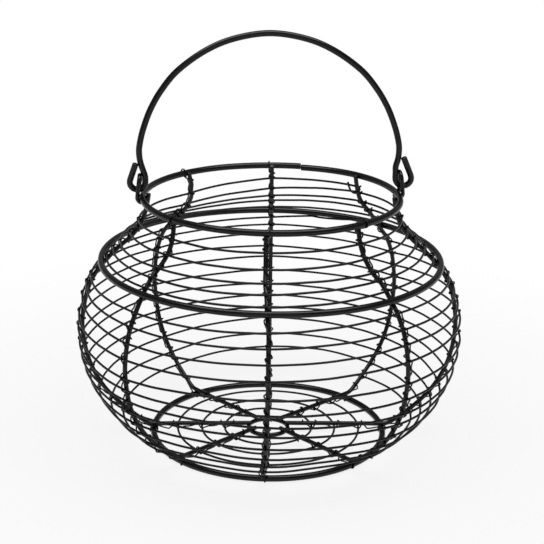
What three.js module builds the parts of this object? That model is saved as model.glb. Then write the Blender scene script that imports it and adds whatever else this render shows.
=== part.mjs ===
// Wire egg basket with a swinging handle, every wire a closed solid of its own.
// Lengths are in millimetres. Z is up, the basket stands on Z = 0 and its front is at -Y.
import * as THREE from 'three';

// Sizes of the basket. Radii run to the middle of a wire.
const RIM_RADIUS = 75;
const RIM_HEIGHT = 149.4;
const SHOULDER_RADIUS = 97;
const SHOULDER_HEIGHT = 110.6;
const BELLY_RADIUS = 111.9;
const BELLY_HEIGHT = 68;
const BASE_RADIUS = 70;
const HUB_RADIUS = 12;

// Thicknesses of the wires, and the clearance between two wires that lie on each other.
const HEAVY_WIRE = 3.4;
const EAR_WIRE = 2.8;
const RIB_WIRE = 2.3;
const HOOP_WIRE = 1;
const BINDING_WIRE = 0.8;
const GAP = 0.2;

// The ribs by name, with the direction of each in degrees from the front towards the right.
const RIBS = {
  front: -1,
  front_right: 43,
  right: 91,
  back_right: 134,
  back: 180,
  back_left: 222.5,
  left: 273,
  front_left: 315,
};

// The wall is one thin wire wound round the ribs. Each row is one of its turns, with how far down it
// crosses the back right rib and then every other rib on its way round to there again: 0 is at the
// rim, 100 at the shoulder and 200 on the floor. The last value is where it ends.
const WALL_TURNS = [
  [19, 22, 37, 35, 28, 28, 28, 29],
  [29, 41, 58, 54, 49, 49, 47, 46],
  [45, 56, 70, 69, 65, 65, 64, 61],
  [58, 68, 79, 78, 76, 76, 73, 74],
  [76, 83, 88, 88, 88, 88, 86, 87],
  [88, 103, 105.5, 107, 107, 107, 104.5, 106.5],
  [109, 108.5, 111, 111.5, 113.5, 113.5, 112, 112.5],
  [116.5, 114.5, 118, 118.5, 121.5, 120.5, 119.5, 120],
  [125, 123.5, 124.5, 128.5, 130, 129, 128, 128],
  [132, 130.5, 132, 136, 140, 138, 139, 140],
  [138.5, 139, 141, 144.5, 146, 146.5, 148, 147],
  [148, 148, 148, 150.5, 152.5, 153, 157, 156],
  [155.5, 154.5, 157, 157.5, 159, 158.5, 162.5, 164],
  [161.5, 161.5, 163.5, 164, 166, 167, 170.5, 171],
  [168.5, 167.5, 171.5, 172.5, 172, 174.5, 178, 177.5],
  [176, 175.5, 179.5, 180.5, 180, 181, 183, 183],
  [182.5, 182, 185.5, 186.5, 186.5, 187, 187.5, 187.5],
];
const WALL_END = 188.5;
const FLOOR_HOOPS = [0.79, 0.58, 0.38];

// The ears stand on the rim and carry the hooks of the bail, on a line turned a little to the rim.
const EAR_WIDTH = 8.4;
const EAR_HEIGHT = 12.3;
const EAR_LEAN = 1.1;
const HINGE_TURN = 6.76;
const HINGE_BEHIND = 5.71;
const HINGE_ABOVE_RIM = HEAVY_WIRE + GAP + 0.1;
const HOOK_RADIUS = 4.7;
const HOOK_SPAN = RIM_RADIUS + 3.3;
const HOOK_TIP = { out: 1.1, height: 20 };
const HOOK_SWELL = { out: 3.5, height: 13 };
const BAIL_HEIGHT = 94.3;
const BAIL_LEAN = 2;

const TURN = 2 * Math.PI;
const radians = (degrees) => degrees * Math.PI / 180;

// The colour of the finish, the same on every wire.
function blackFinish() {
  return new THREE.MeshStandardMaterial({ color: 0x141312, roughness: 0.42, metalness: 0.35 });
}

// A point at a distance out from the middle of the basket, in the direction of an angle in degrees.
function around(angle, radius, height) {
  const turn = radians(angle);
  return new THREE.Vector3(radius * Math.sin(turn), -radius * Math.cos(turn), height);
}

// The distance from the middle of a wire's flat-sided section to its corners: its area is the round
// wire's own.
function cornerRadius(diameter, sides) {
  return diameter / 2 * Math.sqrt(TURN / (sides * Math.sin(TURN / sides)));
}

// The distance from the middle of the same section to its flats.
function flatRadius(diameter, sides) {
  return cornerRadius(diameter, sides) * Math.cos(Math.PI / sides);
}

// A solid wire along points. One flat of its section faces the direction given for each point.
function wire(name, points, facing, diameter, sides, closed) {
  const radius = cornerRadius(diameter, sides);
  const count = points.length;
  const corners = [];
  points.forEach((point, i) => {
    const before = points[closed ? (i + count - 1) % count : Math.max(i - 1, 0)];
    const after = points[closed ? (i + 1) % count : Math.min(i + 1, count - 1)];
    const along = after.clone().sub(before).normalize();
    const front = facing[i].clone();
    front.addScaledVector(along, -front.dot(along)).normalize();
    const side = along.clone().cross(front);
    for (let k = 0; k < sides; k += 1) {
      const angle = (k + 0.5) * TURN / sides;
      const corner = point.clone();
      corner.addScaledVector(front, radius * Math.cos(angle));
      corner.addScaledVector(side, radius * Math.sin(angle));
      corners.push(corner);
    }
  });
  const faces = [];
  const spans = closed ? count : count - 1;
  for (let i = 0; i < spans; i += 1) {
    const here = i * sides;
    const next = ((i + 1) % count) * sides;
    for (let k = 0; k < sides; k += 1) {
      const other = (k + 1) % sides;
      faces.push(here + k, here + other, next + other);
      faces.push(here + k, next + other, next + k);
    }
  }
  if (!closed) {
    const last = (count - 1) * sides;
    for (let k = 1; k < sides - 1; k += 1) {
      faces.push(0, k + 1, k);
      faces.push(last, last + k, last + k + 1);
    }
  }
  const geometry = new THREE.BufferGeometry().setFromPoints(corners);
  geometry.setIndex(faces);
  geometry.computeVertexNormals();
  const mesh = new THREE.Mesh(geometry, blackFinish());
  mesh.name = name;
  return mesh;
}

// Directions for a wire that bends in more than one plane: the first one, carried along the bends.
function carried(points, first) {
  const facing = [first.clone()];
  for (let i = 1; i < points.length; i += 1) {
    const after = points[Math.min(i + 1, points.length - 1)];
    const along = after.clone().sub(points[i - 1]).normalize();
    const front = facing[i - 1].clone();
    front.addScaledVector(along, -front.dot(along)).normalize();
    facing.push(front);
  }
  return facing;
}

// Points of an outline between two corners, given as fractions of the way out and of the way down.
function between(from, to, fractions) {
  return fractions.map(([out, down]) => new THREE.Vector2(
    THREE.MathUtils.lerp(from.x, to.x, out),
    THREE.MathUtils.lerp(from.y, to.y, down),
  ));
}

// The line of a rib in its own upright plane, as radius and height: down the neck, round the belly
// and in over the floor.
function ribLine() {
  const mouth = new THREE.Vector2(RIM_RADIUS - HEAVY_WIRE / 2 - 3 * GAP - RIB_WIRE / 2, RIM_HEIGHT + 0.5);
  const shoulder = new THREE.Vector2(SHOULDER_RADIUS, SHOULDER_HEIGHT);
  const belly = new THREE.Vector2(BELLY_RADIUS, BELLY_HEIGHT);
  const foot = new THREE.Vector2(BASE_RADIUS, HEAVY_WIRE + GAP + RIB_WIRE / 2);
  const neck = between(mouth, shoulder, [[0.076, 0.254], [0.216, 0.468], [0.452, 0.654], [0.72, 0.809]]);
  const upper = between(shoulder, belly, [[0.397, 0.168], [0.7, 0.372], [0.869, 0.577], [0.977, 0.807]]);
  const lower = between(belly, foot, [
    [0.029, 0.179],
    [0.086, 0.333],
    [0.183, 0.487],
    [0.327, 0.64],
    [0.544, 0.795],
    [0.8, 0.935],
    [0.91, 0.985],
  ]);
  const floor = [0.8, 0.5].map((part) => new THREE.Vector2(BASE_RADIUS * part, foot.y));
  const end = new THREE.Vector2(HUB_RADIUS - 1.5, foot.y);
  const corners = [mouth, ...neck, shoulder, ...upper, belly, ...lower, foot, ...floor, end];
  const line = new THREE.SplineCurve(corners);
  line.arcLengthDivisions = 1200;
  return line;
}

const rib = ribLine();
const RIB_LENGTH = rib.getLength();

// A point beside the rib line: so far along it, and so far out from its middle.
function besideRib(along, out) {
  const part = along / RIB_LENGTH;
  const point = rib.getPointAt(part);
  const tangent = rib.getTangentAt(part);
  return new THREE.Vector2(point.x - tangent.y * out, point.y + tangent.x * out);
}

// The way along the rib at which a measure of the point beside it falls to a value.
function alongWhere(measure, value, out, start, end) {
  let low = start;
  let high = end;
  for (let i = 0; i < 40; i += 1) {
    const middle = (low + high) / 2;
    if (besideRib(middle, out)[measure] > value) {
      low = middle;
    } else {
      high = middle;
    }
  }
  return (low + high) / 2;
}

const HOOP_OUT = (RIB_WIRE + HOOP_WIRE) / 2 + GAP;
const RING_OUT = (RIB_WIRE + HEAVY_WIRE) / 2 + GAP;
const BELLY_ALONG = alongWhere('y', BELLY_HEIGHT, 0, 0, RIB_LENGTH * 0.6);
const SHOULDER_ALONG = alongWhere('y', SHOULDER_HEIGHT, 0, 0, BELLY_ALONG);
const FOOT_ALONG = alongWhere('x', BASE_RADIUS, 0, BELLY_ALONG, RIB_LENGTH);

const RIB_ANGLES = Object.values(RIBS);
const FIRST_RIB = Object.keys(RIBS).indexOf('back_right');

// The crossings of the wall wire with the ribs, in the order in which it runs. The directions go on
// growing from turn to turn.
const CROSSINGS = [...WALL_TURNS.flat(), WALL_END].map((down, i) => {
  const place = FIRST_RIB + i;
  const turns = Math.floor(place / RIB_ANGLES.length);
  const height = down < 100
    ? THREE.MathUtils.lerp(RIM_HEIGHT, SHOULDER_HEIGHT, down / 100)
    : THREE.MathUtils.lerp(SHOULDER_HEIGHT, 0, down / 100 - 1);
  return {
    angle: RIB_ANGLES[place % RIB_ANGLES.length] + 360 * turns,
    along: alongWhere('y', height, HOOP_OUT, 0, FOOT_ALONG),
  };
});

// The crossings on one rib, as ways along it.
function crossingsOn(angle) {
  return CROSSINGS.filter((crossing) => (crossing.angle - angle) % 360 === 0).map(({ along }) => along);
}

// The way along the rib to a floor hoop.
function alongToFloorHoop(part) {
  return alongWhere('x', BASE_RADIUS * part, 0, BELLY_ALONG, RIB_LENGTH);
}

// Angles round the basket, with the same number of steps from each rib to the next.
function anglesRound(steps) {
  const result = [];
  RIB_ANGLES.forEach((angle, i) => {
    const next = RIB_ANGLES[i + 1] ?? RIB_ANGLES[0] + 360;
    for (let k = 0; k < steps; k += 1) {
      result.push(THREE.MathUtils.lerp(angle, next, k / steps));
    }
  });
  return result;
}

// A level ring, with a flat of its section underneath.
function ring(name, radius, height, diameter, sides, steps) {
  const points = anglesRound(steps).map((angle) => around(angle, radius, height));
  const down = points.map(() => new THREE.Vector3(0, 0, -1));
  return wire(name, points, down, diameter, sides, true);
}

function rings() {
  const shoulder = besideRib(SHOULDER_ALONG, RING_OUT);
  const foot = flatRadius(HEAVY_WIRE, 8);
  const hubHeight = besideRib(RIB_LENGTH, RIB_WIRE + GAP).y;
  return [
    ring('rim_ring', RIM_RADIUS, RIM_HEIGHT, HEAVY_WIRE, 8, 5),
    ring('shoulder_ring', shoulder.x, shoulder.y, HEAVY_WIRE, 8, 5),
    ring('base_ring', BASE_RADIUS, foot, HEAVY_WIRE, 8, 5),
    ring('centre_ring', HUB_RADIUS, hubHeight, RIB_WIRE, 6, 2),
  ];
}

// A thin wire on the outside of the ribs, through places given as a direction and a way along the
// rib. Where it passes the shoulder ring it goes inside it.
function thinWire(name, places, closed) {
  const clear = (HEAVY_WIRE + HOOP_WIRE) / 2 + 2 * GAP;
  const points = [];
  const inward = [];
  places.forEach(({ angle, along }) => {
    const fromRing = Math.abs(along - SHOULDER_ALONG);
    const inside = fromRing < clear ? RING_OUT - Math.sqrt(clear ** 2 - fromRing ** 2) : HOOP_OUT;
    const middle = besideRib(along, Math.min(inside, HOOP_OUT));
    const behind = besideRib(along, -RIB_WIRE);
    points.push(around(angle, middle.x, middle.y));
    inward.push(around(angle, behind.x - middle.x, behind.y - middle.y));
  });
  return wire(name, points, inward, HOOP_WIRE, 4, closed);
}

// How much of the way between two ribs a turn of the wall wire stops short of the next turn, and how
// far the wire's own two ends go past the rib.
const TURN_CUT = 0.003;
const END_PAST_RIB = 3;

// One turn of the wall wire, from the back right rib round to it again. The real wire runs on without
// a cut. Here each turn is a solid of its own, which keeps every solid simple.
function wallTurn(name, turn, steps) {
  const count = RIB_ANGLES.length;
  const first = turn * count;
  const places = [];
  for (let i = 0; i <= count * steps; i += 1) {
    const part = THREE.MathUtils.clamp(i / steps, TURN_CUT, count - TURN_CUT);
    const span = Math.min(Math.floor(part), count - 1);
    const before = CROSSINGS[first + span];
    const after = CROSSINGS[first + span + 1];
    places.push({
      angle: THREE.MathUtils.lerp(before.angle, after.angle, part - span),
      along: THREE.MathUtils.lerp(before.along, after.along, part - span),
    });
  }
  if (turn === 0) {
    places.unshift({ ...places[0], angle: places[0].angle - END_PAST_RIB });
  }
  if (turn === WALL_TURNS.length - 1) {
    places.push({ ...places.at(-1), angle: places.at(-1).angle + END_PAST_RIB });
  }
  return thinWire(name, places, false);
}

// The turns of the wall wire, those round the neck first, and the closed hoops under the floor.
function wallAndFloor() {
  const onNeck = WALL_TURNS.filter((turn) => turn.every((down) => down < 100)).length;
  const pitches = CROSSINGS.slice(RIB_ANGLES.length).map(({ along }, i) => along - CROSSINGS[i].along);
  const gap = (Math.min(...pitches) - HOOP_WIRE).toFixed(2);
  console.log(`wall wire: ${WALL_TURNS.length} turns, least gap to itself ${gap} mm`);
  const wall = WALL_TURNS.map((_, i) => (
    i < onNeck
      ? wallTurn(`neck_hoop_${i + 1}`, i, 3)
      : wallTurn(`belly_hoop_${i + 1 - onNeck}`, i, 4)
  ));
  const floor = FLOOR_HOOPS.map((part, i) => {
    const along = alongToFloorHoop(part);
    const places = anglesRound(i === 0 ? 3 : 2).map((angle) => ({ angle, along }));
    return thinWire(`floor_hoop_${i + 1}`, places, true);
  });
  return [...wall, ...floor];
}

// Places along the rib line, closer where it bends more: a step turns by about 6 degrees at most.
function ribSteps() {
  const steps = [0];
  let tangent = rib.getTangentAt(0);
  for (let along = 0.5; along < RIB_LENGTH - 2; along += 0.5) {
    const here = rib.getTangentAt(along / RIB_LENGTH);
    if (Math.acos(Math.min(here.dot(tangent), 1)) > radians(6) || along - steps.at(-1) > 11) {
      steps.push(along);
      tangent = here;
    }
  }
  steps.push(RIB_LENGTH);
  return steps;
}

const RIB_STEPS = ribSteps();

// One rib, from its cut end inside the rim to its end over the centre ring.
function ribWire(name, angle) {
  const points = RIB_STEPS.map((along) => {
    const point = besideRib(along, 0);
    return around(angle, point.x, point.y);
  });
  const last = points.length - 1;
  const turn = radians(angle);
  const across = new THREE.Vector3(Math.cos(turn), Math.sin(turn), 0);
  const facing = points.map((point, i) => {
    const after = points[Math.min(i + 1, last)];
    const before = points[Math.max(i - 1, 0)];
    return after.clone().sub(before).cross(across);
  });
  return wire(name, points, facing, RIB_WIRE, 6, false);
}

// The steps of one turn of a binding, in degrees from where it lies over the wall wire, and how far
// it reaches out over that wire, in behind the rib and to either side.
const BINDING_STEPS = [0, 35, 85, 145, 215, 275, 325];
const BINDING_OUT = HOOP_OUT + HOOP_WIRE / 2 + BINDING_WIRE / 2 + GAP + 0.45;
const BINDING_IN = RIB_WIRE / 2 + BINDING_WIRE / 2 + GAP + 0.65;
const BINDING_ASIDE = RIB_WIRE / 2 + BINDING_WIRE / 2 + GAP + 0.45;

// How far above the next crossing a binding goes behind the rib, and the length of its first turn.
const BINDING_RISE = HOOP_WIRE + 2 * BINDING_WIRE + GAP;
const FIRST_TURN = 5.6;

// A point of one turn of a binding. The turn starts over the wall wire, goes down on the right, is
// behind the rib at the middle given and comes up on the left, over the next turn of the wall wire.
function bindingPoint({ start, middle, end, steepness }, degrees) {
  const turn = radians(degrees);
  const reach = (BINDING_OUT + BINDING_IN) / 2;
  const fromBehind = Math.abs(1 - degrees / 180) ** steepness;
  const along = THREE.MathUtils.lerp(middle, degrees < 180 ? start : end, fromBehind);
  return { along, out: BINDING_OUT - reach + reach * Math.cos(turn), aside: BINDING_ASIDE * Math.sin(turn) };
}

// A turn over a stretch of rib. Where a heavy ring crosses the stretch, the turn is behind the rib
// there. Elsewhere it crosses the wall wire steeply and goes behind the rib low in the stretch.
function turnBetween(start, end) {
  const ring = [SHOULDER_ALONG, FOOT_ALONG].find((along) => along > start && along < end);
  if (ring !== undefined) {
    return { start, middle: ring, end, steepness: 1.9 };
  }
  return { start, middle: Math.max((start + end) / 2, end - BINDING_RISE), end, steepness: 3 };
}

// The start of a binding: a straight end inside the rim, then over the rim close beside the rib.
function bindingOverRim() {
  const reach = (HEAVY_WIRE + BINDING_WIRE) / 2 + GAP + 0.35;
  const aside = BINDING_ASIDE + 0.2;
  const path = [{ radius: RIM_RADIUS - reach, height: RIM_HEIGHT - 1.5, aside }];
  for (let degrees = 180; degrees >= -40; degrees -= 44) {
    const turn = radians(degrees);
    path.push({
      radius: RIM_RADIUS + reach * Math.cos(turn),
      height: RIM_HEIGHT + reach * Math.sin(turn),
      aside,
    });
  }
  return path;
}

// The least gap that a winding leaves to itself, measured on points less than half a millimetre
// apart. Points closer along the wire than four diameters are its own next stretch.
function leastGap(points, diameter) {
  const fine = [];
  for (let i = 1; i < points.length; i += 1) {
    const steps = Math.ceil(points[i].distanceTo(points[i - 1]) / 0.5);
    for (let k = 0; k < steps; k += 1) {
      fine.push(points[i - 1].clone().lerp(points[i], k / steps));
    }
  }
  let least = Infinity;
  for (let i = 0; i < fine.length; i += 1) {
    let travelled = 0;
    for (let j = i + 1; j < fine.length; j += 1) {
      travelled += fine[j].distanceTo(fine[j - 1]);
      if (travelled > 4 * diameter) {
        least = Math.min(least, fine[j].distanceTo(fine[i]) - diameter);
      }
    }
  }
  return least;
}

// The turns of one binding: from each crossing of the wall wire to the next, then over the bare rib
// on each side of the base ring, and on over the floor hoops.
function bindingTurns(angle) {
  const besideBase = [BASE_RADIUS + 7, BASE_RADIUS - 8.5].map(
    (radius) => alongWhere('x', radius, 0, BELLY_ALONG, RIB_LENGTH),
  );
  const crossings = [...crossingsOn(angle), ...besideBase, ...FLOOR_HOOPS.map(alongToFloorHoop)];
  return crossings.slice(1).map((end, i) => turnBetween(crossings[i], end));
}

// One binding: an unbroken wire wound down a rib. It starts over the rim, or below it where an ear
// or the lowered bail is in the way, and ends on the floor.
function binding(name, angle, overRim) {
  const turns = bindingTurns(angle);
  const firstTurn = turnBetween(turns[0].start - FIRST_TURN, turns[0].start);
  const path = [];
  if (overRim) {
    path.push(...bindingOverRim(), bindingPoint(firstTurn, 85), bindingPoint(firstTurn, 145));
  } else {
    const top = bindingPoint(firstTurn, 180);
    path.push({ ...top, along: top.along - 1 }, top);
  }
  [215, 275, 325].forEach((degrees) => path.push(bindingPoint(firstTurn, degrees)));
  turns.forEach((lie) => BINDING_STEPS.forEach((degrees) => path.push(bindingPoint(lie, degrees))));
  const lastTurn = turnBetween(turns.at(-1).end, turns.at(-1).end + 8);
  [0, 35, 85, 145, 180].forEach((degrees) => path.push(bindingPoint(lastTurn, degrees)));
  const end = path.at(-1);
  path.push({ ...end, along: end.along + 1 });

  const turn = radians(angle);
  const across = new THREE.Vector3(Math.cos(turn), Math.sin(turn), 0);
  const points = [];
  const inward = [];
  path.forEach((place) => {
    const onRim = place.along === undefined;
    const middle = onRim ? new THREE.Vector2(place.radius, place.height) : besideRib(place.along, place.out);
    const centre = onRim ? new THREE.Vector2(RIM_RADIUS, RIM_HEIGHT) : besideRib(place.along, 0);
    const point = around(angle, middle.x, middle.y).addScaledVector(across, place.aside);
    const aside = onRim ? place.aside : 0;
    points.push(point);
    inward.push(around(angle, centre.x, centre.y).addScaledVector(across, aside).sub(point));
  });
  const gap = leastGap(points, BINDING_WIRE).toFixed(2);
  console.log(`${name}: ${turns.length + 1} turns, least gap to itself ${gap} mm`);
  return wire(name, points, inward, BINDING_WIRE, 3, false);
}

function ribsAndBindings() {
  return Object.entries(RIBS).flatMap(([place, angle]) => [
    ribWire(`rib_${place}`, angle),
    binding(`binding_${place}`, angle, place !== 'left' && place !== 'right'),
  ]);
}

// The line through both hooks of the bail, level, passing behind the middle of the basket.
const hingeLine = new THREE.Vector3(Math.cos(radians(HINGE_TURN)), Math.sin(radians(HINGE_TURN)), 0);
const hingeBack = new THREE.Vector3(-hingeLine.y, hingeLine.x, 0);
const EAR_BEND = (HEAVY_WIRE + EAR_WIRE) / 2 + 4 * GAP;

// One ear: a cut end inside the rim, round under the rim, up, over and down the same way.
function ear(name, side) {
  const topRadius = RIM_RADIUS + EAR_BEND - EAR_LEAN;
  const reach = Math.sqrt(topRadius ** 2 - HINGE_BEHIND ** 2);
  const top = hingeBack.clone().multiplyScalar(HINGE_BEHIND).addScaledVector(hingeLine, side * reach);
  const angle = THREE.MathUtils.radToDeg(Math.atan2(top.x, -top.y));
  const half = EAR_WIDTH / 2;
  const outside = (height) => RIM_RADIUS + EAR_BEND - EAR_LEAN * height / EAR_HEIGHT;
  const leg = [{ radius: RIM_RADIUS - EAR_BEND, height: 1.5, aside: half }];
  for (let degrees = 180; degrees <= 360; degrees += 30) {
    leg.push({
      radius: RIM_RADIUS + EAR_BEND * Math.cos(radians(degrees)),
      height: EAR_BEND * Math.sin(radians(degrees)),
      aside: half,
    });
  }
  for (let degrees = 0; degrees < 90; degrees += 22.5) {
    const height = EAR_HEIGHT - half + half * Math.sin(radians(degrees));
    leg.push({ radius: outside(height), height, aside: half * Math.cos(radians(degrees)) });
  }
  const crown = { radius: outside(EAR_HEIGHT), height: EAR_HEIGHT, aside: 0 };
  const back = leg.map((place) => ({ ...place, aside: -place.aside })).reverse();
  const turn = radians(angle);
  const across = new THREE.Vector3(Math.cos(turn), Math.sin(turn), 0);
  const points = [...leg, crown, ...back].map((place) => (
    around(angle, place.radius, RIM_HEIGHT + place.height).addScaledVector(across, place.aside)
  ));
  return wire(name, points, carried(points, around(angle, 1, 0)), EAR_WIRE, 8, false);
}

// The arch of the bail from the hook to its top, as fractions of the span and of the height.
const BAIL_ARCH = [
  [0.950, 0.164],
  [0.966, 0.212],
  [0.973, 0.265],
  [0.968, 0.318],
  [0.939, 0.413],
  [0.881, 0.537],
  [0.794, 0.659],
  [0.669, 0.779],
  [0.465, 0.898],
  [0.255, 0.969],
];

// The bail: an arch that leans a little to the left, with an open hook through each ear.
function bail() {
  const hookHeight = HINGE_ABOVE_RIM + HOOK_RADIUS;
  const foot = [HOOK_SPAN - HOOK_RADIUS, hookHeight];
  const rise = BAIL_ARCH.map(([out, up]) => [out * HOOK_SPAN, up * BAIL_HEIGHT]);
  const half = [foot, [foot[0] + 0.1, hookHeight + 3.6], ...rise];
  const placed = (out, height) => hingeBack.clone()
    .multiplyScalar(HINGE_BEHIND)
    .addScaledVector(hingeLine, out - BAIL_LEAN * (height - hookHeight) / BAIL_HEIGHT)
    .setZ(RIM_HEIGHT + height);
  const left = half.map(([out, height]) => placed(-out, height));
  const right = half.map(([out, height]) => placed(out, height)).reverse();
  const arch = new THREE.CatmullRomCurve3([...left, placed(0, BAIL_HEIGHT), ...right]).getSpacedPoints(46);
  const hook = (side) => {
    const points = [HOOK_TIP, HOOK_SWELL].map(({ out, height }) => placed(side * (HOOK_SPAN + out), height));
    for (let degrees = 0; degrees < 180; degrees += 30) {
      const out = HOOK_SPAN + HOOK_RADIUS * Math.cos(radians(degrees));
      points.push(placed(side * out, hookHeight - HOOK_RADIUS * Math.sin(radians(degrees))));
    }
    return points;
  };
  const points = [...hook(-1), ...arch, ...hook(1).reverse()];
  const facing = points.map(() => hingeBack);
  return wire('bail', points, facing, HEAVY_WIRE, 8, false);
}

const group = new THREE.Group();
group.name = 'egg_basket';
group.add(...rings(), ...wallAndFloor(), ...ribsAndBindings());
group.add(ear('ear_left', -1), ear('ear_right', 1), bail());

export default group;
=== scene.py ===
# Wire basket with a swinging handle. Lengths are worked out in millimetres and put into
# Blender in metres. Z is up, the basket stands on Z = 0 and its front is at -Y.
import math
import random

import bpy
from mathutils import Matrix, Vector, noise


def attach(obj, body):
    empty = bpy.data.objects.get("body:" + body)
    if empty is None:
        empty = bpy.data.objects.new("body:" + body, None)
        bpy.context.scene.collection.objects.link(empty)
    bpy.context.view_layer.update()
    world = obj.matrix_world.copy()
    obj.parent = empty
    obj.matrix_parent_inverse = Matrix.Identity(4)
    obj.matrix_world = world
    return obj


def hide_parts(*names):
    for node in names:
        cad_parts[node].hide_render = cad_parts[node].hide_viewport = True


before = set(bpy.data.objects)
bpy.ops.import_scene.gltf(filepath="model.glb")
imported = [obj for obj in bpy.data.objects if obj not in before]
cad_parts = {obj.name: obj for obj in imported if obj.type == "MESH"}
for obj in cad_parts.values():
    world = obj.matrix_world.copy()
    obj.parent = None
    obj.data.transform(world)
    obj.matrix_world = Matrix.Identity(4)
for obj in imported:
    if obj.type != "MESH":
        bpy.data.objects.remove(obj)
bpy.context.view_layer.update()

MM = 0.001

# Blender's noise starts from the clock unless it is given a number to start from.
noise.seed_set(3)

# Sizes of the basket. Radii run to the middle of a wire.
RIM_RADIUS = 75.0
RIM_HEIGHT = 149.4
SHOULDER_RADIUS = 97.0
SHOULDER_HEIGHT = 110.6
BELLY_RADIUS = 111.9
BELLY_HEIGHT = 68.0
BASE_RADIUS = 70.0
HUB_RADIUS = 12.0

# Thicknesses of the wires.
HEAVY_WIRE = 3.85
HANDLE_WIRE = 3.65
EAR_WIRE = 2.35
RIB_WIRE = 2.7
HOOP_WIRE = 1.35
BINDING_WIRE = 0.88

# The gaps between wires that lie on each other.
HOOP_GAP = 0.05
RING_GAP = 0.1
BASE_GAP = 0.2

# The ribs by name, with the direction of each in degrees from the front towards the right.
RIBS = {
    "front": -1,
    "front_right": 43,
    "right": 91,
    "back_right": 134,
    "back": 180,
    "back_left": 222.5,
    "left": 273,
    "front_left": 315,
}

# How far a rib strays to its right from an upright plane, as (way down, distance).
STRAYS = {
    "back_left": [(0, 3.4), (10, 0.3), (20, -2.2), (28, -3.4), (36, -2.7), (58, 0)],
    "back_right": [(0, 0), (14, -0.5), (27, -3.2), (50, 0)],
    "front_left": [(0, -3.9), (20, -2.3), (38, -2.7), (62, 0)],
    "front": [(0, -1.3), (28, -1.2), (42, 0), (64, 1.5), (90, 1.8), (106, 1.4), (130, 0.6),
              (168, -1.1), (190, 0)],
    "front_right": [(0, -1.7), (12, -2.0), (28, -1.6), (38, 0)],
    "left": [(0, 0.8), (14, 0)],
}

# How much higher than the others a rib is cut off.
RIB_TOPS = {"left": 1.3, "right": -0.5}

# The rim lies a little lower than its height, so that the level handle clears it. Its two ends meet
# in this direction.
RIM_DROP = 0.2
RIM_JOINT = 166

# The shoulder ring lies up to so much further down the ribs, most of all in this direction.
SHOULDER_DROP = 1.4
SHOULDER_LOWEST = 20

# The wall is one thin wire wound round the ribs from the neck down. Each row is one of its turns,
# with its height where it crosses the back right rib and then every other rib on its way round.
WALL_TURNS = [
    (142.0, 140.8, 134.4, 135.6, 138.4, 138.4, 138.7, 138.2),
    (138.3, 133.5, 125.4, 128.2, 130.2, 130.2, 131.0, 131.4),
    (131.9, 127.5, 120.4, 122.4, 123.8, 124.3, 124.3, 125.6),
    (126.9, 123.0, 118.0, 118.4, 119.5, 119.7, 120.9, 120.6),
    (120.1, 116.9, 114.0, 114.2, 114.6, 114.5, 115.9, 115.0),
    (115.5, 107.2, 104.4, 103.0, 103.1, 103.1, 105.5, 103.6),
    (100.8, 101.3, 98.3, 97.8, 95.7, 95.7, 97.2, 97.0),
    (92.2, 94.4, 90.8, 90.4, 86.8, 87.7, 89.3, 88.6),
    (83.2, 84.5, 83.6, 79.3, 77.6, 78.8, 79.8, 79.6),
    (75.1, 77.0, 75.4, 71.0, 66.4, 68.3, 67.2, 66.6),
    (67.9, 67.2, 65.0, 61.5, 59.6, 59.2, 57.4, 58.6),
    (57.3, 57.6, 57.4, 54.6, 52.4, 52.1, 47.7, 48.4),
    (49.0, 50.5, 47.4, 46.8, 45.4, 45.7, 41.2, 40.0),
    (42.6, 42.5, 40.2, 39.8, 37.8, 36.6, 32.6, 32.0),
    (34.8, 36.2, 31.6, 30.2, 30.7, 28.2, 24.2, 25.0),
    (26.6, 27.0, 22.8, 21.7, 22.0, 20.8, 18.6, 18.6),
    (19.6, 19.8, 16.0, 14.8, 15.0, 14.5, 13.6, 13.6),
]
WALL_END = 12.6
FLOOR_HOOPS = [55.3, 40.6, 26.6]

# The bindings: how far a turn may stand off the rib, and how far above the next turn of the wall wire
# it passes behind the rib.
LOOSENESS = (0, 0, 0.1, 0.4)
LEAST_RISE = 1.9
MOST_RISE = 3.2
# Their turn just under the rim, as ways down the rib, or how far above the first turn of the wall
# wire they start where the rib isn't tied to the rim.
TURN_UNDER_RIM = (3.4, 5.8)
FREE_START = 3.7
# How far outside and inside the base ring they stop going over the rib, and the length of the last turn.
OUTSIDE_BASE = 6.5
INSIDE_BASE = 8.5
LAST_TURN = 8

# The line through both hooks of the handle: turned a little, and behind the middle of the basket.
HINGE_TURN = math.radians(6.76)
HINGE_BEHIND = 5.71
HINGE_ABOVE_RIM = 3.7


def around(angle, radius, height):
    """The point at a distance out from the middle, in the direction of an angle in degrees."""
    turn = math.radians(angle)
    return Vector((radius * math.sin(turn), -radius * math.cos(turn), height))


def astray(place, along):
    """How far a rib lies to its right of its upright plane, so many millimetres down it."""
    bends = STRAYS.get(place, [(0, 0)])
    for (low, start), (high, end) in zip(bends, bends[1:]):
        if along < high:
            share = max(along - low, 0) / (high - low)
            return start + (end - start) * share * share * (3 - 2 * share)
    return bends[-1][1]


def across_rib(angle):
    """The direction across a rib, level, pointing to the right of someone outside the basket."""
    turn = math.radians(angle)
    return Vector((math.cos(turn), math.sin(turn), 0))


# Curves through points.

def smooth_line(points, spacing):
    """Points at an even spacing along a smooth curve through the given points."""
    fine = []
    last = len(points) - 1
    for i in range(last):
        before, start = points[max(i - 1, 0)], points[i]
        end, after = points[i + 1], points[min(i + 2, last)]
        for k in range(24):
            t = k / 24
            fine.append(0.5 * (2 * start + (end - before) * t
                               + (2 * before - 5 * start + 4 * end - after) * t ** 2
                               + (3 * start - before - 3 * end + after) * t ** 3))
    fine.append(points[-1])
    return even_points(fine, spacing)


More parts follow.
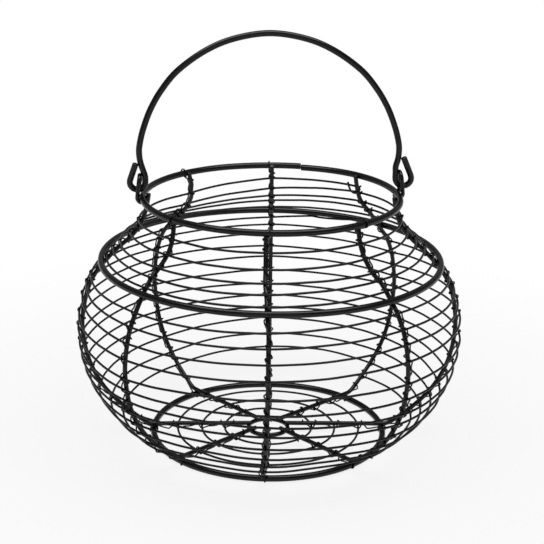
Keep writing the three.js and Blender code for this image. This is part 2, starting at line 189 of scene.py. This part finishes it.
def even_points(points, spacing):
    """The same line with its points an even distance apart."""
    lengths = [0.0]
    for here, after in zip(points, points[1:]):
        lengths.append(lengths[-1] + (after - here).length)
    count = max(round(lengths[-1] / spacing), 2)
    result = []
    i = 0
    for k in range(count + 1):
        target = lengths[-1] * k / count
        while i < len(points) - 2 and lengths[i + 1] < target:
            i += 1
        share = (target - lengths[i]) / max(lengths[i + 1] - lengths[i], 1e-9)
        result.append(points[i].lerp(points[i + 1], share))
    return result


def hand_bent(points, amount, reach, seed):
    """The points moved a little, in slow waves, as in wire that was bent by hand."""
    shift = Vector((seed * 7.3, seed * 3.1, seed * 5.7))
    return [point + amount * noise.noise_vector(point / reach + shift) for point in points]


# The rib line, as radius and height, from the rim down the wall and in over the floor.

RIB_STEP = 0.5
RIB_ABOVE_RIM = 0.6
FLOOR_HEIGHT = HEAVY_WIRE + BASE_GAP + RIB_WIRE / 2


def rib_line():
    """Points along a rib. Between its corners they are shares of the way out and of the way down."""
    mouth = (RIM_RADIUS - HEAVY_WIRE / 2 - RING_GAP - RIB_WIRE / 2, RIM_HEIGHT + RIB_ABOVE_RIM)
    foot = (BASE_RADIUS, FLOOR_HEIGHT)
    neck = [(0.076, 0.254), (0.216, 0.468), (0.452, 0.654), (0.72, 0.809), (1, 1)]
    upper = [(0.397, 0.168), (0.7, 0.372), (0.869, 0.577), (0.977, 0.807), (1, 1)]
    lower = [(0.029, 0.179), (0.086, 0.333), (0.183, 0.487), (0.327, 0.64), (0.544, 0.795),
             (0.8, 0.935), (0.91, 0.985), (1, 1)]
    corners = [mouth, (SHOULDER_RADIUS, SHOULDER_HEIGHT), (BELLY_RADIUS, BELLY_HEIGHT), foot]
    points = [Vector((mouth[0], mouth[1], 0))]
    for start, end, parts in zip(corners, corners[1:], (neck, upper, lower)):
        for out, down in parts:
            points.append(Vector((start[0] + (end[0] - start[0]) * out,
                                  start[1] + (end[1] - start[1]) * down, 0)))
    for radius in (BASE_RADIUS * 0.8, BASE_RADIUS * 0.5, HUB_RADIUS - 1.5):
        points.append(Vector((radius, FLOOR_HEIGHT, 0)))
    return smooth_line(points, RIB_STEP)


RIB_LINE = rib_line()
BELLY_PLACE = max(range(len(RIB_LINE)), key=lambda i: RIB_LINE[i].x)


def beside_rib(along, out):
    """(radius, height) of the point so many millimetres along the rib line and out from it."""
    place = min(max(along / RIB_STEP, 0), len(RIB_LINE) - 1.001)
    i = int(place)
    point = RIB_LINE[i].lerp(RIB_LINE[i + 1], place - i)
    ahead = RIB_LINE[min(i + 3, len(RIB_LINE) - 1)]
    behind = RIB_LINE[max(i - 2, 0)]
    tangent = (ahead - behind).normalized()
    return point.x - tangent.y * out, point.y + tangent.x * out


def along_at_height(height, out):
    """How far along the rib line the wall beside it comes down to a height."""
    low, high = 0.0, along_at_radius(BASE_RADIUS)
    for _ in range(30):
        middle = (low + high) / 2
        if beside_rib(middle, out)[1] > height:
            low = middle
        else:
            high = middle
    return low


def along_at_radius(radius):
    """How far along the rib line it has come in to a radius, below the belly."""
    low, high = BELLY_PLACE * RIB_STEP, (len(RIB_LINE) - 1) * RIB_STEP
    for _ in range(30):
        middle = (low + high) / 2
        if beside_rib(middle, 0)[0] > radius:
            low = middle
        else:
            high = middle
    return low


# How far the wall wire and the shoulder ring lie out from the middle of a rib.
HOOP_OUT = (RIB_WIRE + HOOP_WIRE) / 2 + HOOP_GAP
RING_OUT = (RIB_WIRE + HEAVY_WIRE) / 2 + RING_GAP
SHOULDER_ALONG = along_at_height(SHOULDER_HEIGHT, 0)
FOOT_ALONG = along_at_radius(BASE_RADIUS)


def shoulder_along(angle):
    """How far down the ribs the shoulder ring lies. It sits lowest a little right of the front."""
    lowness = (1 + math.cos(math.radians(angle - SHOULDER_LOWEST))) / 2
    return SHOULDER_ALONG + SHOULDER_DROP * lowness


def wall_crossings():
    """Every crossing of the wall wire with a rib: (direction, way down the rib), as it runs.

    The directions go on growing from turn to turn.
    """
    ribs = list(RIBS.values())
    first = list(RIBS).index("back_right")
    crossings = []
    for i, height in enumerate([height for turn in WALL_TURNS for height in turn] + [WALL_END]):
        turns, place = divmod(first + i, len(ribs))
        crossings.append((ribs[place] + 360 * turns, along_at_height(height, HOOP_OUT)))
    return crossings


CROSSINGS = wall_crossings()


# Finishes.

def lacquer(name, color, roughness, grain, bump, bare_and_highlight_past=None):
    """Near-black lacquer on wire: uneven in tone and gloss, with a fine orange-peel surface.

    Past a distance up and to the back, if one is given, it has come off and the steel is bare, in a paler
    grey that is also a painted highlight on that cut end.
    """
    material = bpy.data.materials.new(name)
    material.use_nodes = True
    nodes, links = material.node_tree.nodes, material.node_tree.links
    shader = nodes["Principled BSDF"]
    shader.inputs["Metallic"].default_value = 0.0
    shader.inputs["Specular IOR Level"].default_value = 0.36
    place = nodes.new("ShaderNodeTexCoord")

    def field(scale, detail):
        texture = nodes.new("ShaderNodeTexNoise")
        texture.inputs["Scale"].default_value = scale
        texture.inputs["Detail"].default_value = detail
        links.new(place.outputs["Object"], texture.inputs["Vector"])
        return texture.outputs["Fac"]

    tone = nodes.new("ShaderNodeValToRGB")
    tone.color_ramp.elements[0].position = 0.34
    tone.color_ramp.elements[0].color = (*[part * 0.62 for part in color], 1)
    tone.color_ramp.elements[1].position = 0.68
    tone.color_ramp.elements[1].color = (*[part * 1.45 for part in color], 1)
    links.new(field(160, 5), tone.inputs["Fac"])
    surface = tone.outputs["Color"]
    # Painted highlight: the bare tip is given a paler grey that also stands in for light caught on its
    # cut end.
    if bare_and_highlight_past is not None:
        surface = bare_end_and_highlight(nodes, links, surface, place.outputs["Object"], bare_and_highlight_past)
    links.new(surface, shader.inputs["Base Color"])

    gloss = nodes.new("ShaderNodeMapRange")
    gloss.inputs["From Min"].default_value = 0.3
    gloss.inputs["From Max"].default_value = 0.72
    gloss.inputs["To Min"].default_value = roughness - 0.05
    gloss.inputs["To Max"].default_value = roughness + 0.09
    links.new(field(420, 4), gloss.inputs["Value"])
    links.new(gloss.outputs["Result"], shader.inputs["Roughness"])

    skin = nodes.new("ShaderNodeBump")
    skin.inputs["Strength"].default_value = bump
    skin.inputs["Distance"].default_value = 0.00012
    links.new(field(grain, 3), skin.inputs["Height"])
    links.new(skin.outputs["Normal"], shader.inputs["Normal"])
    return material


def bare_end_and_highlight(nodes, links, lacquered, place, past):
    """The colour of the lacquer, turning past a distance up and to the back to a pale grey: dull bare
    steel with a painted highlight on it.
    """
    up_and_back = nodes.new("ShaderNodeVectorMath")
    up_and_back.operation = "DOT_PRODUCT"
    up_and_back.inputs[1].default_value = (0, 1, 1)
    links.new(place, up_and_back.inputs[0])
    bare_and_highlit = nodes.new("ShaderNodeMapRange")
    bare_and_highlit.inputs["From Min"].default_value = past
    bare_and_highlit.inputs["From Max"].default_value = past + 0.0002
    links.new(up_and_back.outputs["Value"], bare_and_highlit.inputs["Value"])
    mix = nodes.new("ShaderNodeMixRGB")
    # Bare steel, pale enough to be also a painted highlight on the cut end.
    mix.inputs["Color2"].default_value = (0.11, 0.10, 0.095, 1)
    links.new(bare_and_highlit.outputs["Result"], mix.inputs["Fac"])
    links.new(lacquered, mix.inputs["Color1"])
    return mix.outputs["Color"]


def finishes():
    # Where the back rib's cut tip is painted a paler grey: bare steel with a painted highlight.
    back_rib_bare_highlight = (RIM_HEIGHT + RIM_RADIUS - 4.7) * MM
    return {
        "heavy_wire": lacquer("heavy_wire_lacquer", (0.0050, 0.0044, 0.0042), 0.17, 900, 0.05),
        "handle_wire": lacquer("handle_lacquer", (0.0055, 0.0050, 0.0048), 0.19, 800, 0.05),
        "rib_wire": lacquer("rib_lacquer", (0.0045, 0.0039, 0.0036), 0.24, 1300, 0.08, back_rib_bare_highlight),
        "hoop_wire": lacquer("hoop_lacquer", (0.0040, 0.0034, 0.0031), 0.28, 2400, 0.10),
        "binding_wire": lacquer("binding_lacquer", (0.0045, 0.0038, 0.0035), 0.30, 2600, 0.12),
    }


FINISH = finishes()


# Making a wire.

def wire(name, points, diameter, finish, closed=False, body="basket", sides=3, nodes=None):
    """A round wire along points in millimetres, in place of the CAD nodes named or of its own name."""
    curve = bpy.data.curves.new(name, "CURVE")
    curve.dimensions = "3D"
    curve.bevel_depth = diameter / 2 * MM
    curve.bevel_resolution = sides
    curve.use_fill_caps = not closed
    spline = curve.splines.new("POLY")
    spline.use_cyclic_u = closed
    radii = [1.0] * len(points)
    if not closed:
        points, radii = eased_ends(points, diameter)
    spline.points.add(len(points) - 1)
    for target, point, radius in zip(spline.points, points, radii):
        target.co = (*(point * MM), 1)
        target.radius = radius
    curve.materials.append(FINISH[finish])
    piece = bpy.data.objects.new(name, curve)
    bpy.context.scene.collection.objects.link(piece)
    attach(piece, body)
    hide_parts(*(nodes or [name]))
    return piece


def eased_ends(points, diameter):
    """The wire's two cut ends, their edges rounded off by the lacquer."""
    ease = diameter * 0.14

    def end(tip, behind):
        back = (behind - tip).normalized()
        return [tip, tip + back * ease * 0.35, tip + back * ease], [0.72, 0.92, 1.0]

    head, head_radii = end(points[0], points[1])
    tail, tail_radii = end(points[-1], points[-2])
    radii = head_radii + [1.0] * (len(points) - 2) + tail_radii[::-1]
    return head + points[1:-1] + tail[::-1], radii


# Rings, hoops and ribs.

def heavy_ring(name, place, seed, joint=None):
    """A ring of heavy wire, its radius and height at each direction given by place.

    Where a joint is given its two ends meet there, one a little lower.
    """
    points = []
    half_gap = 0.15
    step_out = 0.15
    step_up = 0.35
    eased_by = 14
    gap = math.degrees(half_gap / place(0)[0])
    start = 0 if joint is None else joint + gap
    count = 180
    for i in range(count if joint is None else count + 1):
        share = i / count
        step = 0.0
        if joint is not None:
            step = max(0.0, 1 - share * eased_by) - max(0.0, 1 - (1 - share) * eased_by)
        angle = start + (360 if joint is None else 360 - 2 * gap) * share
        radius, height = place(angle)
        points.append(around(angle, radius + step_out * step, height + step_up * step))
    points = hand_bent(points, 0.28, 60, seed)
    return wire(name, points, HEAVY_WIRE, "heavy_wire", closed=joint is None, sides=5)


def between_ribs(start, end, along_start, along_end, bulge, sag, steps=18):
    """Places of a thin wire from one rib to the next, as (direction, way down the rib, out)."""
    places = []
    for k in range(steps):
        share = k / steps
        wave = math.sin(math.pi * share) ** 2
        along = along_start + (along_end - along_start) * share + sag * wave
        places.append((start + (end - start) * share, along, HOOP_OUT + bulge * wave))
    return places


def on_wall(angle, along, out):
    """The point of the wall wire at a place. It keeps inside the shoulder ring where it passes it."""
    clear = (HEAVY_WIRE + HOOP_WIRE) / 2 + RING_GAP
    from_ring = abs(along - shoulder_along(angle))
    if from_ring < clear:
        out = min(out, RING_OUT - math.sqrt(clear ** 2 - from_ring ** 2))
    return around(angle, *beside_rib(along, out))


def wall_wire():
    """The thin wire of the wall: a free end hooked round the back right rib, then all its turns."""
    turned = random.Random(11)
    angle, along = CROSSINGS[0]
    across = across_rib(angle)
    hook = [(-3.7, -1.6, 5.5), (-0.9, -1.7, 4.9), (1.7, -1.7, 3.9), (2.6, -1.75, 1.6), (2.4, -1.6, -0.4),
            (1.7, -0.7, -1.75), (0.9, 0.9, -1.5)]
    points = [around(angle, *beside_rib(along + down, out)) + across * aside
              for down, out, aside in hook]
    places = []
    drawn_in_after = 72
    for i, ((start, along_start), (end, along_end)) in enumerate(zip(CROSSINGS, CROSSINGS[1:])):
        bulge = (-0.9 if i > drawn_in_after else 0.1) + turned.uniform(-0.5, 0.4)
        places += between_ribs(start, end, along_start, along_end, bulge, turned.uniform(-0.35, 0.35))
    end, along_end = CROSSINGS[-1]
    places += [(end, along_end, HOOP_OUT), (end + 4, along_end + 0.3, HOOP_OUT + 0.2)]
    points += [on_wall(*place) for place in places]
    points = hand_bent(points, 0.22, 14, 3)
    nodes = [f"neck_hoop_{i}" for i in range(1, 6)] + [f"belly_hoop_{i}" for i in range(1, 13)]
    return wire("wall_wire", points, HOOP_WIRE, "hoop_wire", sides=2, nodes=nodes)


def floor_hoop(name, along, seed):
    """A closed thin hoop under the ribs of the floor."""
    ribs = sorted(RIBS.values())
    turned = random.Random(seed)
    points = []
    for start, end in zip(ribs, ribs[1:] + [ribs[0] + 360]):
        sag = turned.uniform(-0.5, 0.5)
        points += [on_wall(*place) for place in between_ribs(start, end, along, along, 0, sag, 12)]
    return wire(name, hand_bent(points, 0.15, 14, seed), HOOP_WIRE, "hoop_wire", closed=True, sides=2)


def rib(place, angle):
    """A rib, cut off just above the rim and ending over the centre ring."""
    higher = RIB_TOPS.get(place, 0)
    start = max(-higher, 0)
    length = (len(RIB_LINE) - 1) * RIB_STEP
    points = []
    count = 130
    for i in range(count + 1):
        along = start + (length - start) * i / count
        points.append(around(angle, *beside_rib(along, 0)) + across_rib(angle) * astray(place, along))
    if higher > 0:
        points.insert(0, points[0] + Vector((0, 0, higher)))
    points = hand_bent(points, 0.22, 26, angle)
    return wire(f"rib_{place}", points, RIB_WIRE, "rib_wire", sides=4)


def rings_hoops_and_ribs():
    heavy_ring("rim_ring", lambda angle: (RIM_RADIUS, RIM_HEIGHT - RIM_DROP), 1, joint=RIM_JOINT)
    heavy_ring("shoulder_ring", lambda angle: beside_rib(shoulder_along(angle), RING_OUT), 2)
    heavy_ring("base_ring", lambda angle: (BASE_RADIUS, HEAVY_WIRE / 2), 0)
    under_ribs = FLOOR_HEIGHT - RIB_WIRE - RING_GAP
    hub = [around(degrees, HUB_RADIUS, under_ribs) for degrees in range(0, 360, 9)]
    wire("centre_ring", hub, RIB_WIRE, "rib_wire", closed=True, sides=4)
    wall_wire()
    for i, radius in enumerate(FLOOR_HOOPS):
        floor_hoop(f"floor_hoop_{i + 1}", along_at_radius(radius), 61 + i)
    for place, angle in RIBS.items():
        rib(place, angle)


# Bindings.

def binding_turn(lie, loose, side, steps=16):
    """One turn of a binding as (along, out, aside): over the wall wire, down on the right of the rib,
    behind it and up on the left over the next turn of the wall wire.

    lie says how far down it starts, is behind the rib and ends, and how steeply it crosses the wall
    wire. loose is how far it stands off the side of the rib on the right and on the left.
    """
    start, middle, end, steepness = lie
    over = HOOP_OUT + (HOOP_WIRE + BINDING_WIRE) / 2
    behind = (RIB_WIRE + BINDING_WIRE) / 2 + 0.05
    places = []
    for i in range(steps):
        turn = math.tau * i / steps
        share = abs(1 - turn / math.pi) ** steepness
        along = middle + ((start if turn < math.pi else end) - middle) * share
        aside = side + loose[0 if turn < math.pi else 1] * abs(math.sin(turn))
        from_crossing = min(abs(along - start), abs(along - end))
        lift = (over - behind) * (1 + math.cos(turn)) / 2 * math.exp(-(from_crossing / 1.6) ** 2)
        places.append((along, behind * math.cos(turn) + lift, aside * math.sin(turn)))
    return places


def tight_turn(start, end, side, steps=16):
    """A turn of a binding as (along, out, aside), close round the bare rib from its front down."""
    places = []
    for i in range(steps):
        turn = math.tau * i / steps
        places.append((start + (end - start) * i / steps, side * math.cos(turn), side * math.sin(turn)))
    return places


def turn_between(start, end, angle, rise=2.5):
    """A turn of a binding over a stretch of rib: behind a heavy ring, or low in the stretch."""
    for ring in (shoulder_along(angle), FOOT_ALONG):
        if start < ring < end:
            return start, ring, end, 1.9
    return start, max((start + end) / 2, end - rise), end, 3.0


def over_rim(aside):
    """(radius, height, aside) of a binding that comes up inside the rim and goes over it."""
    reach = (HEAVY_WIRE + BINDING_WIRE) / 2
    places = [(RIM_RADIUS - reach, RIM_HEIGHT - 3.2, aside * 0.9)]
    for degrees in range(180, -50, -20):
        turn = math.radians(degrees)
        places.append((RIM_RADIUS + reach * math.cos(turn), RIM_HEIGHT + reach * math.sin(turn), aside))
    return places


def round_base_ring(aside):
    """(radius, height, aside) of a binding that goes round under the base ring."""
    reach = (HEAVY_WIRE + BINDING_WIRE) / 2
    middle = HEAVY_WIRE / 2
    places = []
    for degrees in range(70, -250, -20):
        turn = math.radians(degrees)
        height = max(middle + reach * math.sin(turn), BINDING_WIRE / 2 + 0.02)
        slide = aside * (1 - (70 - degrees) / 320 * 1.6)
        places.append((BASE_RADIUS + reach * math.cos(turn), height, slide))
    return places


def binding(place, angle, seed):
    """One fine wire wound down a rib, over each turn of the wall wire, and round the base ring."""
    turned = random.Random(seed)
    across = across_rib(angle)
    crossings = [along for direction, along in CROSSINGS if (direction - angle) % 360 == 0]
    side = (RIB_WIRE + BINDING_WIRE) / 2 + 0.04
    points = []

    def place_beside(places):
        for along, out, aside in places:
            aside += astray(place, along)
            points.append(around(angle, *beside_rib(along, out)) + across * aside)

    def place_round(places, stray):
        for radius, height, aside in places:
            points.append(around(angle, radius, height) + across * (aside + stray))

    def any_turn(start, end):
        loose = (turned.choice(LOOSENESS), turned.choice(LOOSENESS))
        lie = turn_between(start, end, angle, turned.uniform(LEAST_RISE, MOST_RISE))
        place_beside(binding_turn(lie, loose, side))

    first = crossings[0]
    if place in ("left", "right", "back_right"):
        place_beside(binding_turn(turn_between(first - FREE_START, first, angle), (0, 0), side)[8:])
    else:
        place_round(over_rim(side + 0.2), astray(place, 0))
        place_beside(tight_turn(*TURN_UNDER_RIM, side)[4:])
        place_beside(binding_turn(turn_between(TURN_UNDER_RIM[1], first, angle), (0, 0), side))
    for start, end in zip(crossings, crossings[1:]):
        any_turn(start, end)
    any_turn(crossings[-1], along_at_radius(BASE_RADIUS + OUTSIDE_BASE))
    place_round(round_base_ring(2.0), astray(place, FOOT_ALONG))
    floor = [along_at_radius(radius) for radius in [BASE_RADIUS - INSIDE_BASE] + FLOOR_HOOPS]
    for start, end in zip(floor, floor[1:]):
        any_turn(start, end)
    last = turn_between(floor[-1], floor[-1] + LAST_TURN, angle)
    place_beside(binding_turn(last, (0, 0), side)[:10])
    points = hand_bent(smooth_line(points, 0.5), 0.12, 3.2, seed)
    return wire(f"binding_{place}", points, BINDING_WIRE, "binding_wire", sides=2)


def bindings():
    for i, (place, angle) in enumerate(RIBS.items()):
        binding(place, angle, 81 + i)


# The ears and the handle.

def hinge_point(out, height, forward=0):
    """A point so far out along the line of the handle, above the rim and in front of its plane."""
    line = Vector((math.cos(HINGE_TURN), math.sin(HINGE_TURN), 0))
    behind = Vector((-line.y, line.x, 0)) * (HINGE_BEHIND - forward)
    return behind + line * out + Vector((0, 0, RIM_HEIGHT + height))


def ear(name, side, stand_off, far_lean):
    """A U of wire on the rim, both legs hugging it from outside and hooked under it.

    It leans inwards, and its far leg leans further by far_lean at the top.
    """
    half = 4.2
    tall = 12.3
    bend = (HEAVY_WIRE + EAR_WIRE) / 2 + stand_off
    lean = 1.3
    reach = math.sqrt((RIM_RADIUS + bend - lean) ** 2 - HINGE_BEHIND ** 2)
    top = hinge_point(side * reach, 0)
    angle = math.degrees(math.atan2(top.x, -top.y))
    across = across_rib(angle)

    def outside(height, aside):
        far_share = max(side * aside, 0) / half
        return RIM_RADIUS + bend - (lean + far_lean * far_share) * height / tall

    leg = []
    for degrees in range(260, 361, 20):
        turn = math.radians(degrees)
        leg.append((RIM_RADIUS + bend * math.cos(turn), bend * math.sin(turn), half))
    for degrees in range(0, 91, 15):
        turn = math.radians(degrees)
        height = tall - half + half * math.sin(turn)
        leg.append((outside(height, 0), height, half * math.cos(turn)))
    places = leg + [(radius, height, -aside) for radius, height, aside in leg[-2::-1]]
    points = []
    for radius, height, aside in places:
        inward = outside(max(height, 0), 0) - outside(max(height, 0), aside)
        points.append(around(angle, radius - inward, RIM_HEIGHT + height) + across * aside)
    points = hand_bent(smooth_line(points, 0.9), 0.12, 9, 5 + side)
    return wire(name, points, EAR_WIRE, "heavy_wire", sides=5)


def bail():
    """The handle: an arch that leans a little to the left, with an open hook at each end."""
    span = 78.3
    tall = 94.3
    lean = 2.0
    hook_bottom = HINGE_ABOVE_RIM
    arch = [(0.950, 0.164), (0.966, 0.212), (0.973, 0.265), (0.968, 0.318), (0.939, 0.413),
            (0.881, 0.537), (0.794, 0.659), (0.669, 0.779), (0.465, 0.898), (0.255, 0.969)]

    def hook(shift, bend, tip_in, tip_height):
        """The hook at one end from its tip to the arch, as (out, height, forward).

        Its straight end runs on from the bend towards the stem and passes in front of it.
        """
        middle = span + shift
        height = hook_bottom + bend
        tip_out = bend - tip_in
        rise = tip_height - height
        start = math.asin(bend / math.hypot(tip_out, rise)) - math.atan2(tip_out, rise)
        bend_out = bend * math.cos(start)
        bend_rise = bend * math.sin(start)
        places = []
        for share in (0, 0.3, 0.6, 0.85):
            out = tip_out + (bend_out - tip_out) * share
            places.append((middle + out, height + rise + (bend_rise - rise) * share, 2.2 - 1.7 * share))
        for i in range(11):
            turn = (math.pi + start) * i / 10 - start
            forward = 0.5 * max(math.cos(turn), 0)
            places.append((middle + bend * math.cos(turn), height - bend * math.sin(turn), forward))
        places.append((middle - bend + 0.1, height + 3.6, 0))
        return places

    def placed(side, out, height, forward):
        return hinge_point(side * out - lean * (height - hook_bottom) / tall, height, forward)

    left = hook(shift=-0.6, bend=4.5, tip_in=3.8, tip_height=19.8)
    right = hook(shift=0.7, bend=4.7, tip_in=5.1, tip_height=21.4)
    shoulders = [(out * span, up * tall, 0) for out, up in arch]
    points = [placed(-1, *place) for place in left + shoulders]
    points.append(placed(0, 0, tall, 0))
    points += [placed(1, *place) for place in reversed(right + shoulders)]
    points = hand_bent(smooth_line(points, 1.4), 0.12, 40, 9)
    return wire("bail", points, HANDLE_WIRE, "handle_wire", body="handle", sides=5)


# The surroundings.

def shown_white(tree, surface, white, reflected):
    """Shows white to the camera and through glass, and a given share of it in reflections.

    Light that falls on things comes from the real surface.
    """
    nodes, links = tree.nodes, tree.links
    path = nodes.new("ShaderNodeLightPath")
    in_reflection = nodes.new("ShaderNodeMath")
    in_reflection.operation = "MULTIPLY"
    in_reflection.inputs[1].default_value = reflected
    links.new(path.outputs["Is Glossy Ray"], in_reflection.inputs[0])
    seen = path.outputs["Is Camera Ray"]
    for other in (path.outputs["Is Transmission Ray"], in_reflection.outputs["Value"]):
        either = nodes.new("ShaderNodeMath")
        either.operation = "MAXIMUM"
        links.new(seen, either.inputs[0])
        links.new(other, either.inputs[1])
        seen = either.outputs["Value"]
    mix = nodes.new("ShaderNodeMixShader")
    links.new(seen, mix.inputs["Fac"])
    links.new(surface, mix.inputs[1])
    links.new(white, mix.inputs[2])
    return mix.outputs["Shader"]


def surroundings():
    """A dim studio with a white backdrop and a white floor that keeps a faint shadow."""
    world = bpy.data.worlds.new("studio")
    bpy.context.scene.world = world
    world.use_nodes = True
    nodes, links = world.node_tree.nodes, world.node_tree.links
    ambient = nodes["Background"]
    ambient.inputs["Color"].default_value = (0.95, 0.97, 1.0, 1)
    ambient.inputs["Strength"].default_value = 0.12
    white = nodes.new("ShaderNodeBackground")
    white.inputs["Color"].default_value = (1, 1, 1, 1)
    shown = shown_white(world.node_tree, ambient.outputs["Background"], white.outputs["Background"], 0.08)
    links.new(shown, nodes["World Output"].inputs["Surface"])

    bpy.ops.mesh.primitive_plane_add(size=6, location=(0, 0, -0.0002))
    floor = bpy.context.active_object
    floor.name = "floor"
    paint = bpy.data.materials.new("white_sweep")
    paint.use_nodes = True
    nodes, links = paint.node_tree.nodes, paint.node_tree.links
    shader = nodes["Principled BSDF"]
    shader.inputs["Base Color"].default_value = (0.8, 0.8, 0.8, 1)
    shader.inputs["Roughness"].default_value = 0.35
    glow = nodes.new("ShaderNodeEmission")
    glow.inputs["Color"].default_value = (1, 1, 1, 1)
    glow.inputs["Strength"].default_value = 1.0
    place = nodes.new("ShaderNodeTexCoord")
    distance = nodes.new("ShaderNodeVectorMath")
    distance.operation = "LENGTH"
    links.new(place.outputs["Object"], distance.inputs[0])
    fade = nodes.new("ShaderNodeMapRange")
    fade.interpolation_type = "SMOOTHSTEP"
    fade.inputs["From Min"].default_value = 0.10
    fade.inputs["From Max"].default_value = 0.42
    fade.inputs["To Min"].default_value = 0.86
    fade.inputs["To Max"].default_value = 1.0
    links.new(distance.outputs["Value"], fade.inputs["Value"])
    shadowed = nodes.new("ShaderNodeMixShader")
    links.new(fade.outputs["Result"], shadowed.inputs["Fac"])
    links.new(shader.outputs["BSDF"], shadowed.inputs[1])
    links.new(glow.outputs["Emission"], shadowed.inputs[2])
    shown = shown_white(paint.node_tree, shader.outputs["BSDF"], shadowed.outputs["Shader"], 0.5)
    links.new(shown, nodes["Material Output"].inputs["Surface"])
    floor.data.materials.append(paint)


def lamp(name, place, size, power):
    """A soft lamp that faces the middle of the basket."""
    light = bpy.data.lights.new(name, "AREA")
    light.shape = "RECTANGLE"
    light.size, light.size_y = size
    light.energy = power
    holder = bpy.data.objects.new(name, light)
    bpy.context.scene.collection.objects.link(holder)
    holder.location = place
    aim = Vector((0, 0, 0.1)) - Vector(place)
    holder.rotation_euler = aim.to_track_quat("-Z", "Y").to_euler()


def lamps():
    lamp("overhead_softbox", (0, -0.12, 1.25), (1.5, 0.75), 13.5)
    lamp("front_softbox", (0, -2.2, 1.0), (1.6, 1.2), 2)


def camera():
    """The camera stands 0.83 m in front, above the handle's top, and looks down 18 degrees."""
    focal_length_in_pixels = 1472.5
    picture_width_in_pixels = 544
    tipped_down = 0.3160
    swung = -0.0011
    rolled = 0.0159
    data = bpy.data.cameras.new("camera")
    data.sensor_width = 36
    data.lens = data.sensor_width * focal_length_in_pixels / picture_width_in_pixels
    data.clip_end = 20
    holder = bpy.data.objects.new("camera", data)
    bpy.context.scene.collection.objects.link(holder)
    turn = (Matrix.Rotation(swung, 4, "Z") @ Matrix.Rotation(math.pi / 2 - tipped_down, 4, "X")
            @ Matrix.Rotation(rolled, 4, "Z"))
    holder.matrix_world = Matrix.Translation((0, -0.8312, 0.3746)) @ turn
    bpy.context.scene.camera = holder


camera()
surroundings()
lamps()
rings_hoops_and_ribs()
bindings()
ear("ear_left", -1, stand_off=0.02, far_lean=0.9)
ear("ear_right", 1, stand_off=0.08, far_lean=0.2)
bail()
bpy.context.scene.view_settings.view_transform = "Standard"
